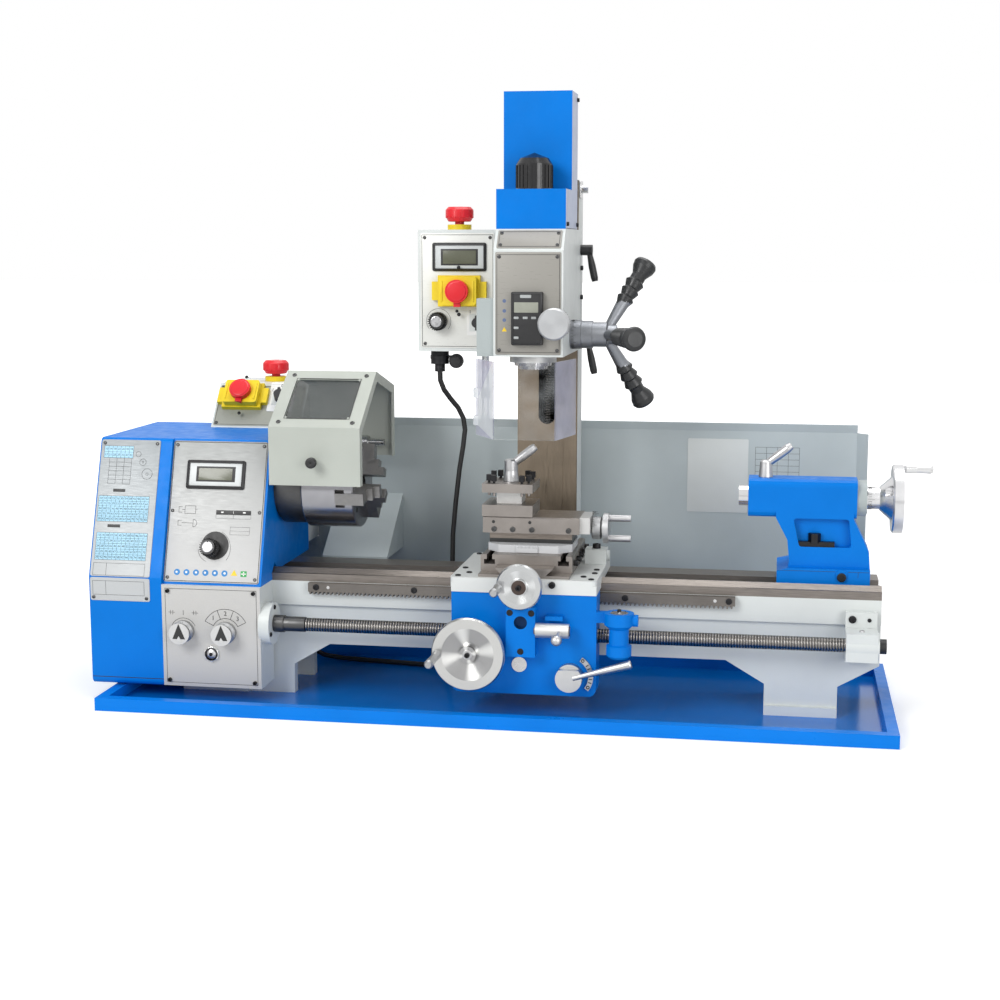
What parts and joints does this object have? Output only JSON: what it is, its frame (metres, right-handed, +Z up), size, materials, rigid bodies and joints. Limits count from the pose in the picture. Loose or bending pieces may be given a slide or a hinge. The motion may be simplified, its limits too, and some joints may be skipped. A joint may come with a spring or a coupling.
{
  "type": "benchtop metal lathe with mill head",
  "caption": "Benchtop metal lathe on a chip tray: guarded three-jaw chuck, carriage with top slide and tool post, tailstock, and a rear column carrying a mill-drill head.",
  "frame": {"origin": "middle of the chip tray's underside, straight below the spindle line", "axes": "+X from the headstock to the tailstock, +Y to the back, +Z up"},
  "size_m": [1.2298, 0.516, 0.894],
  "materials": {
    "blue_paint": "semi-gloss",
    "pale_paint": "semi-gloss",
    "bare_iron": "ground",
    "dark_steel": "blackened",
    "bright_steel": "polished",
    "aluminium": "polished",
    "black_plastic": "matte",
    "yellow_plastic": "satin",
    "red_plastic": "satin",
    "clear_plastic": "clear",
    "cable_rubber": "matte"
  },
  "bodies": {
    "machine": {"chip_tray": "blue_paint", "bed": "pale_paint", "rack": "dark_steel", "headstock": "blue_paint", "gearbox": "pale_paint", "end_cover": "blue_paint", "splash_guard": "pale_paint", "electrics_box": "pale_paint", "switch_housings": "yellow_plastic", "column": "pale_paint", "mill_control_box": "pale_paint", "control_cable": "cable_rubber"},
    "spindle": {"spindle": "dark_steel", "chuck_body": "bright_steel"},
    "jaw_1": {"chuck_jaw_1": "bright_steel"},
    "jaw_2": {"chuck_jaw_2": "bright_steel"},
    "jaw_3": {"chuck_jaw_3": "bright_steel"},
    "chuck_guard": {"chuck_guard": "pale_paint", "guard_window": "clear_plastic"},
    "lathe_speed_knob": {"lathe_speed_knob": "black_plastic"},
    "lathe_direction_switch": {"lathe_direction_switch": "black_plastic"},
    "lathe_stop_button": {"lathe_stop_button": "red_plastic"},
    "lathe_switch_lid": {"lathe_switch_lid": "yellow_plastic"},
    "feed_direction_knob": {"feed_direction_knob": "dark_steel"},
    "feed_range_knob": {"feed_range_knob": "dark_steel"},
    "leadscrew": {"leadscrew": "dark_steel"},
    "carriage": {"saddle": "pale_paint", "apron": "blue_paint"},
    "apron_handwheel": {"apron_handwheel": "aluminium"},
    "half_nut_lever": {"half_nut_lever": "bright_steel"},
    "feed_lever": {"feed_lever": "dark_steel"},
    "thread_dial": {"thread_dial": "bright_steel"},
    "cross_slide": {"cross_slide": "bare_iron"},
    "cross_handwheel": {"cross_handwheel": "bright_steel"},
    "swivel_base": {"swivel_base": "bare_iron"},
    "top_slide": {"top_slide": "bare_iron"},
    "top_slide_handle": {"top_slide_handle": "bright_steel"},
    "tool_post": {"tool_post": "dark_steel"},
    "tool_post_lever": {"tool_post_lever": "bright_steel"},
    "tailstock": {"tailstock_base": "blue_paint", "tailstock_body": "blue_paint"},
    "tailstock_quill": {"tailstock_quill": "bright_steel"},
    "tailstock_handwheel": {"tailstock_handwheel": "aluminium"},
    "quill_lock_lever": {"quill_lock_lever": "dark_steel"},
    "mill_head": {"mill_head": "pale_paint", "mill_drive_cover": "blue_paint", "mill_motor": "black_plastic"},
    "mill_quill": {"mill_quill": "bright_steel"},
    "mill_spindle": {"mill_spindle": "dark_steel"},
    "quill_feed_hub": {"quill_feed_hub": "dark_steel"},
    "fine_feed_knob": {"fine_feed_knob": "aluminium"},
    "head_lock_upper": {"head_lock_upper": "dark_steel"},
    "head_lock_lower": {"head_lock_lower": "dark_steel"},
    "mill_guard": {"mill_guard": "clear_plastic"},
    "lift_screw": {"lift_screw": "dark_steel"},
    "lift_shaft": {"lift_shaft": "bright_steel"},
    "mill_stop_button": {"mill_stop_button": "red_plastic"},
    "mill_switch_lid": {"mill_switch_lid": "yellow_plastic"},
    "mill_speed_knob": {"mill_speed_knob": "black_plastic"},
    "mill_direction_switch": {"mill_direction_switch": "black_plastic"}
  },
  "joints": [
    {"name": "spindle_spin", "type": "hinge", "parent": "machine", "child": "spindle", "pos_m": [-0.3, 0, 0.313], "axis": [1, 0, 0], "continuous": true},
    {"name": "jaw_1_slide", "type": "slide", "parent": "spindle", "child": "jaw_1", "axis": [0, 0.3256, 0.9455], "range_m": [-0.006, 0.008]},
    {"name": "jaw_2_slide", "type": "slide", "parent": "spindle", "child": "jaw_2", "axis": [0, -0.9816, -0.1908], "range_m": [-0.006, 0.008]},
    {"name": "jaw_3_slide", "type": "slide", "parent": "spindle", "child": "jaw_3", "axis": [0, 0.6561, -0.7547], "range_m": [-0.006, 0.008]},
    {"name": "leadscrew_spin", "type": "hinge", "parent": "machine", "child": "leadscrew", "pos_m": [0.1, -0.105, 0.119], "axis": [1, 0, 0], "continuous": true},
    {"name": "chuck_guard_swing", "type": "hinge", "parent": "machine", "child": "chuck_guard", "pos_m": [-0.266, 0.116, 0.366], "axis": [-1, 0, 0], "range_deg": [0, 50]},
    {"name": "lathe_speed_turn", "type": "hinge", "parent": "machine", "child": "lathe_speed_knob", "pos_m": [-0.422, -0.10766, 0.229], "axis": [0, -0.954, 0.2998], "range_deg": [-140, 140]},
    {"name": "lathe_direction_turn", "type": "hinge", "parent": "machine", "child": "lathe_direction_switch", "pos_m": [-0.38704, 0.13584, 0.43122], "axis": [0, -0.7855, 0.6189], "range_deg": [-45, 45]},
    {"name": "lathe_stop_press", "type": "slide", "parent": "machine", "child": "lathe_stop_button", "axis": [0, 0, -1], "range_m": [0, 0.004], "stiffness_N_per_m": 1500, "springref_m": -0.002},
    {"name": "lathe_lid_swing", "type": "hinge", "parent": "machine", "child": "lathe_switch_lid", "pos_m": [-0.44704, 0.14153, 0.45347], "axis": [-1, 0, 0], "range_deg": [0, 80]},
    {"name": "feed_direction_turn", "type": "hinge", "parent": "machine", "child": "feed_direction_knob", "pos_m": [-0.461, -0.13, 0.108], "axis": [0, -1, 0], "range_deg": [-60, 60]},
    {"name": "feed_range_turn", "type": "hinge", "parent": "machine", "child": "feed_range_knob", "pos_m": [-0.396, -0.13, 0.108], "axis": [0, -1, 0], "range_deg": [-60, 60]},
    {"name": "carriage_travel", "type": "slide", "parent": "machine", "child": "carriage", "axis": [1, 0, 0], "range_m": [-0.13, 0.15]},
    {"name": "apron_wheel_turn", "type": "hinge", "parent": "carriage", "child": "apron_handwheel", "pos_m": [-0.025, -0.157, 0.099], "axis": [0, -1, 0], "range_deg": [-2710, 2350]},
    {"name": "cross_feed", "type": "slide", "parent": "carriage", "child": "cross_slide", "axis": [0, 1, 0], "range_m": [-0.03, 0.035]},
    {"name": "cross_wheel_turn", "type": "hinge", "parent": "carriage", "child": "cross_handwheel", "pos_m": [0.048, -0.158, 0.19805], "axis": [0, -1, 0], "range_deg": [-3160, 2710]},
    {"name": "compound_swivel", "type": "hinge", "parent": "cross_slide", "child": "swivel_base", "pos_m": [0.048, -0.022, 0.24], "axis": [0, 0, 1], "range_deg": [-30, 30]},
    {"name": "top_slide_feed", "type": "slide", "parent": "swivel_base", "child": "top_slide", "axis": [1, 0, 0], "range_m": [-0.025, 0.03]},
    {"name": "top_slide_turn", "type": "hinge", "parent": "top_slide", "child": "top_slide_handle", "pos_m": [0.135, -0.022, 0.2621], "axis": [1, 0, 0], "range_deg": [-2260, 2710]},
    {"name": "tool_post_turn", "type": "hinge", "parent": "top_slide", "child": "tool_post", "pos_m": [0.014, -0.022, 0.3], "axis": [0, 0, 1], "continuous": true},
    {"name": "tool_post_clamp", "type": "hinge", "parent": "tool_post", "child": "tool_post_lever", "pos_m": [0.014, -0.022, 0.345], "axis": [0, 0, 1], "range_deg": [-60, 60]},
    {"name": "half_nut_engage", "type": "hinge", "parent": "carriage", "child": "half_nut_lever", "pos_m": [0.117, -0.128, 0.064], "axis": [0, 1, 0], "range_deg": [0, 25]},
    {"name": "feed_engage", "type": "hinge", "parent": "carriage", "child": "feed_lever", "pos_m": [0.095, -0.145, 0.133], "axis": [1, 0, 0], "range_deg": [-20, 20]},
    {"name": "thread_dial_spin", "type": "hinge", "parent": "carriage", "child": "thread_dial", "pos_m": [0.187, -0.134, 0.13], "axis": [0, 0, 1], "continuous": true},
    {"name": "tailstock_travel", "type": "slide", "parent": "machine", "child": "tailstock", "axis": [1, 0, 0], "range_m": [-0.12, 0.01]},
    {"name": "tailstock_quill_feed", "type": "slide", "parent": "tailstock", "child": "tailstock_quill", "axis": [-1, 0, 0], "range_m": [0, 0.06]},
    {"name": "tailstock_wheel_turn", "type": "hinge", "parent": "tailstock", "child": "tailstock_handwheel", "pos_m": [0.55, 0, 0.313], "axis": [1, 0, 0], "range_deg": [-5420, 20]},
    {"name": "quill_lock_turn", "type": "hinge", "parent": "tailstock", "child": "quill_lock_lever", "pos_m": [0.386, 0, 0.35], "axis": [0, 0, 1], "range_deg": [-60, 60]},
    {"name": "head_lift", "type": "slide", "parent": "machine", "child": "mill_head", "axis": [0, 0, 1], "range_m": [-0.085, 0.06]},
    {"name": "lift_screw_turn", "type": "hinge", "parent": "machine", "child": "lift_screw", "pos_m": [0.049, 0.125, 0.57], "axis": [0, 0, 1], "range_deg": [-7670, 5420]},
    {"name": "lift_shaft_turn", "type": "hinge", "parent": "machine", "child": "lift_shaft", "pos_m": [0.09, 0.145, 0.759], "axis": [1, 0, 0], "range_deg": [-7670, 5420]},
    {"name": "mill_quill_feed", "type": "slide", "parent": "mill_head", "child": "mill_quill", "axis": [0, 0, -1], "range_m": [0, 0.055]},
    {"name": "quill_hub_turn", "type": "hinge", "parent": "mill_head", "child": "quill_feed_hub", "pos_m": [0.11, 0, 0.545], "axis": [1, 0, 0], "range_deg": [-5, 215]},
    {"name": "fine_feed_turn", "type": "hinge", "parent": "mill_head", "child": "fine_feed_knob", "pos_m": [0.09, -0.12, 0.565], "axis": [0, -1, 0], "continuous": true},
    {"name": "mill_spindle_spin", "type": "hinge", "parent": "mill_quill", "child": "mill_spindle", "pos_m": [0.049, -0.04, 0.51], "axis": [0, 0, 1], "continuous": true},
    {"name": "head_lock_upper_turn", "type": "hinge", "parent": "mill_head", "child": "head_lock_upper", "pos_m": [0.1, 0.113, 0.667], "axis": [1, 0, 0], "range_deg": [-60, 60]},
    {"name": "head_lock_lower_turn", "type": "hinge", "parent": "mill_head", "child": "head_lock_lower", "pos_m": [0.1, 0.113, 0.526], "axis": [1, 0, 0], "range_deg": [-60, 60]},
    {"name": "mill_guard_swing", "type": "hinge", "parent": "mill_head", "child": "mill_guard", "pos_m": [-0.016, -0.07, 0.5], "axis": [0, 0, -1], "range_deg": [0, 110]},
    {"name": "mill_stop_press", "type": "slide", "parent": "machine", "child": "mill_stop_button", "axis": [0, 0, -1], "range_m": [0, 0.004], "stiffness_N_per_m": 1500, "springref_m": -0.002},
    {"name": "mill_lid_swing", "type": "hinge", "parent": "machine", "child": "mill_switch_lid", "pos_m": [-0.0704, 0.0107, 0.628], "axis": [-1, 0, 0], "range_deg": [0, 80]},
    {"name": "mill_speed_turn", "type": "hinge", "parent": "machine", "child": "mill_speed_knob", "pos_m": [-0.1028, 0.02, 0.562], "axis": [0, -1, 0], "range_deg": [-140, 140]},
    {"name": "mill_direction_turn", "type": "hinge", "parent": "machine", "child": "mill_direction_switch", "pos_m": [-0.0428, 0.02, 0.5602], "axis": [0, -1, 0], "range_deg": [-45, 45]}
  ],
  "couplings": [
    {"joint": "jaw_2_slide", "follows": "jaw_1_slide", "ratio": 1},
    {"joint": "jaw_3_slide", "follows": "jaw_1_slide", "ratio": 1},
    {"joint": "apron_wheel_turn", "follows": "carriage_travel", "rad_per_m": -314.16},
    {"joint": "cross_wheel_turn", "follows": "cross_feed", "rad_per_m": -1570.8},
    {"joint": "top_slide_turn", "follows": "top_slide_feed", "rad_per_m": 1570.8},
    {"joint": "tailstock_wheel_turn", "follows": "tailstock_quill_feed", "rad_per_m": -1570.8},
    {"joint": "lift_screw_turn", "follows": "head_lift", "rad_per_m": 1570.8},
    {"joint": "lift_shaft_turn", "follows": "head_lift", "rad_per_m": 1570.8},
    {"joint": "quill_hub_turn", "follows": "mill_quill_feed", "rad_per_m": 66.667}
  ]
}
